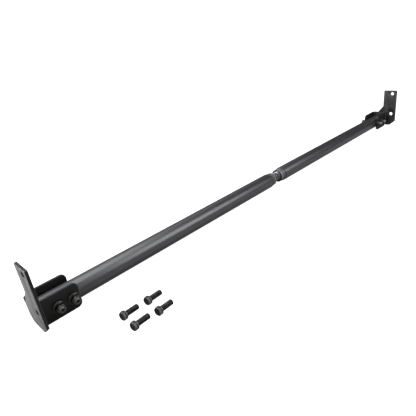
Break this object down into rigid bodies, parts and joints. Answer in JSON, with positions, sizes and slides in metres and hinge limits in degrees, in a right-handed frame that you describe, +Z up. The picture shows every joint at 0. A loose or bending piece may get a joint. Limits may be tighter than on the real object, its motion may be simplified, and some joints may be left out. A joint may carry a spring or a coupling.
{
  "type": "bed cargo bar",
  "caption": "Round two-part steel bar with a threaded adjuster in its middle, and at each end a U-shaped clevis on a stepped plate that bolts to the side of a truck bed.",
  "frame": {"origin": "on the axis of the tubes, half way between the outer faces of the two end plates", "axes": "+X along the bar to the right-hand end, +Y to the far side where the heads of the cross bolts are, +Z up along the arms of the end plates"},
  "size_m": [1.366, 0.2027, 0.1275],
  "materials": {
    "plate": "black powder coat, satin",
    "clevis": "black powder coat, satin",
    "weld": "weld bead under black powder coat",
    "tube": "dark grey powder coat, semi-gloss",
    "collar": "dark grey powder coat, semi-gloss",
    "stud": "dark oxide",
    "bolt": "black oxide",
    "nut": "dark, slightly yellow zinc"
  },
  "bodies": {
    "left_end": {"plate_left": "plate", "clevis_left": "clevis", "weld_left": "weld", "tube_left": "tube", "collar_left": "collar", "cross_bolt_left_1": "bolt", "cross_bolt_left_2": "bolt", "flange_nut_left_1": "nut", "flange_nut_left_2": "nut"},
    "right_end": {"plate_right": "plate", "clevis_right": "clevis", "weld_right": "weld", "tube_right": "tube", "collar_right": "collar", "cross_bolt_right_1": "bolt", "cross_bolt_right_2": "bolt", "flange_nut_right_1": "nut", "flange_nut_right_2": "nut"},
    "adjuster": {"adjuster_stud": "stud"},
    "loose_bolt_a": {"loose_bolt_1": "bolt"},
    "loose_bolt_b": {"loose_bolt_2": "bolt"},
    "loose_bolt_c": {"loose_bolt_3": "bolt"},
    "loose_bolt_d": {"loose_bolt_4": "bolt"}
  },
  "joints": [
    {"name": "length_adjust", "type": "slide", "parent": "left_end", "child": "right_end", "axis": [1, 0, 0], "range_m": [-0.02, 0.05]},
    {"name": "adjuster_turn", "type": "hinge", "parent": "left_end", "child": "adjuster", "pos_m": [0, 0, 0], "axis": [1, 0, 0], "range_deg": [-1136, 2836]},
    {"name": "loose_bolt_a_lift", "type": "slide", "parent": "left_end", "child": "loose_bolt_a", "axis": [0, 0, 1], "range_m": [0, 0.05]},
    {"name": "loose_bolt_b_lift", "type": "slide", "parent": "left_end", "child": "loose_bolt_b", "axis": [0, 0, 1], "range_m": [0, 0.05]},
    {"name": "loose_bolt_c_lift", "type": "slide", "parent": "left_end", "child": "loose_bolt_c", "axis": [0, 0, 1], "range_m": [0, 0.05]},
    {"name": "loose_bolt_d_lift", "type": "slide", "parent": "left_end", "child": "loose_bolt_d", "axis": [0, 0, 1], "range_m": [0, 0.05]}
  ],
  "couplings": [
    {"joint": "adjuster_turn", "follows": "length_adjust", "rad_per_m": 989.48}
  ]
}
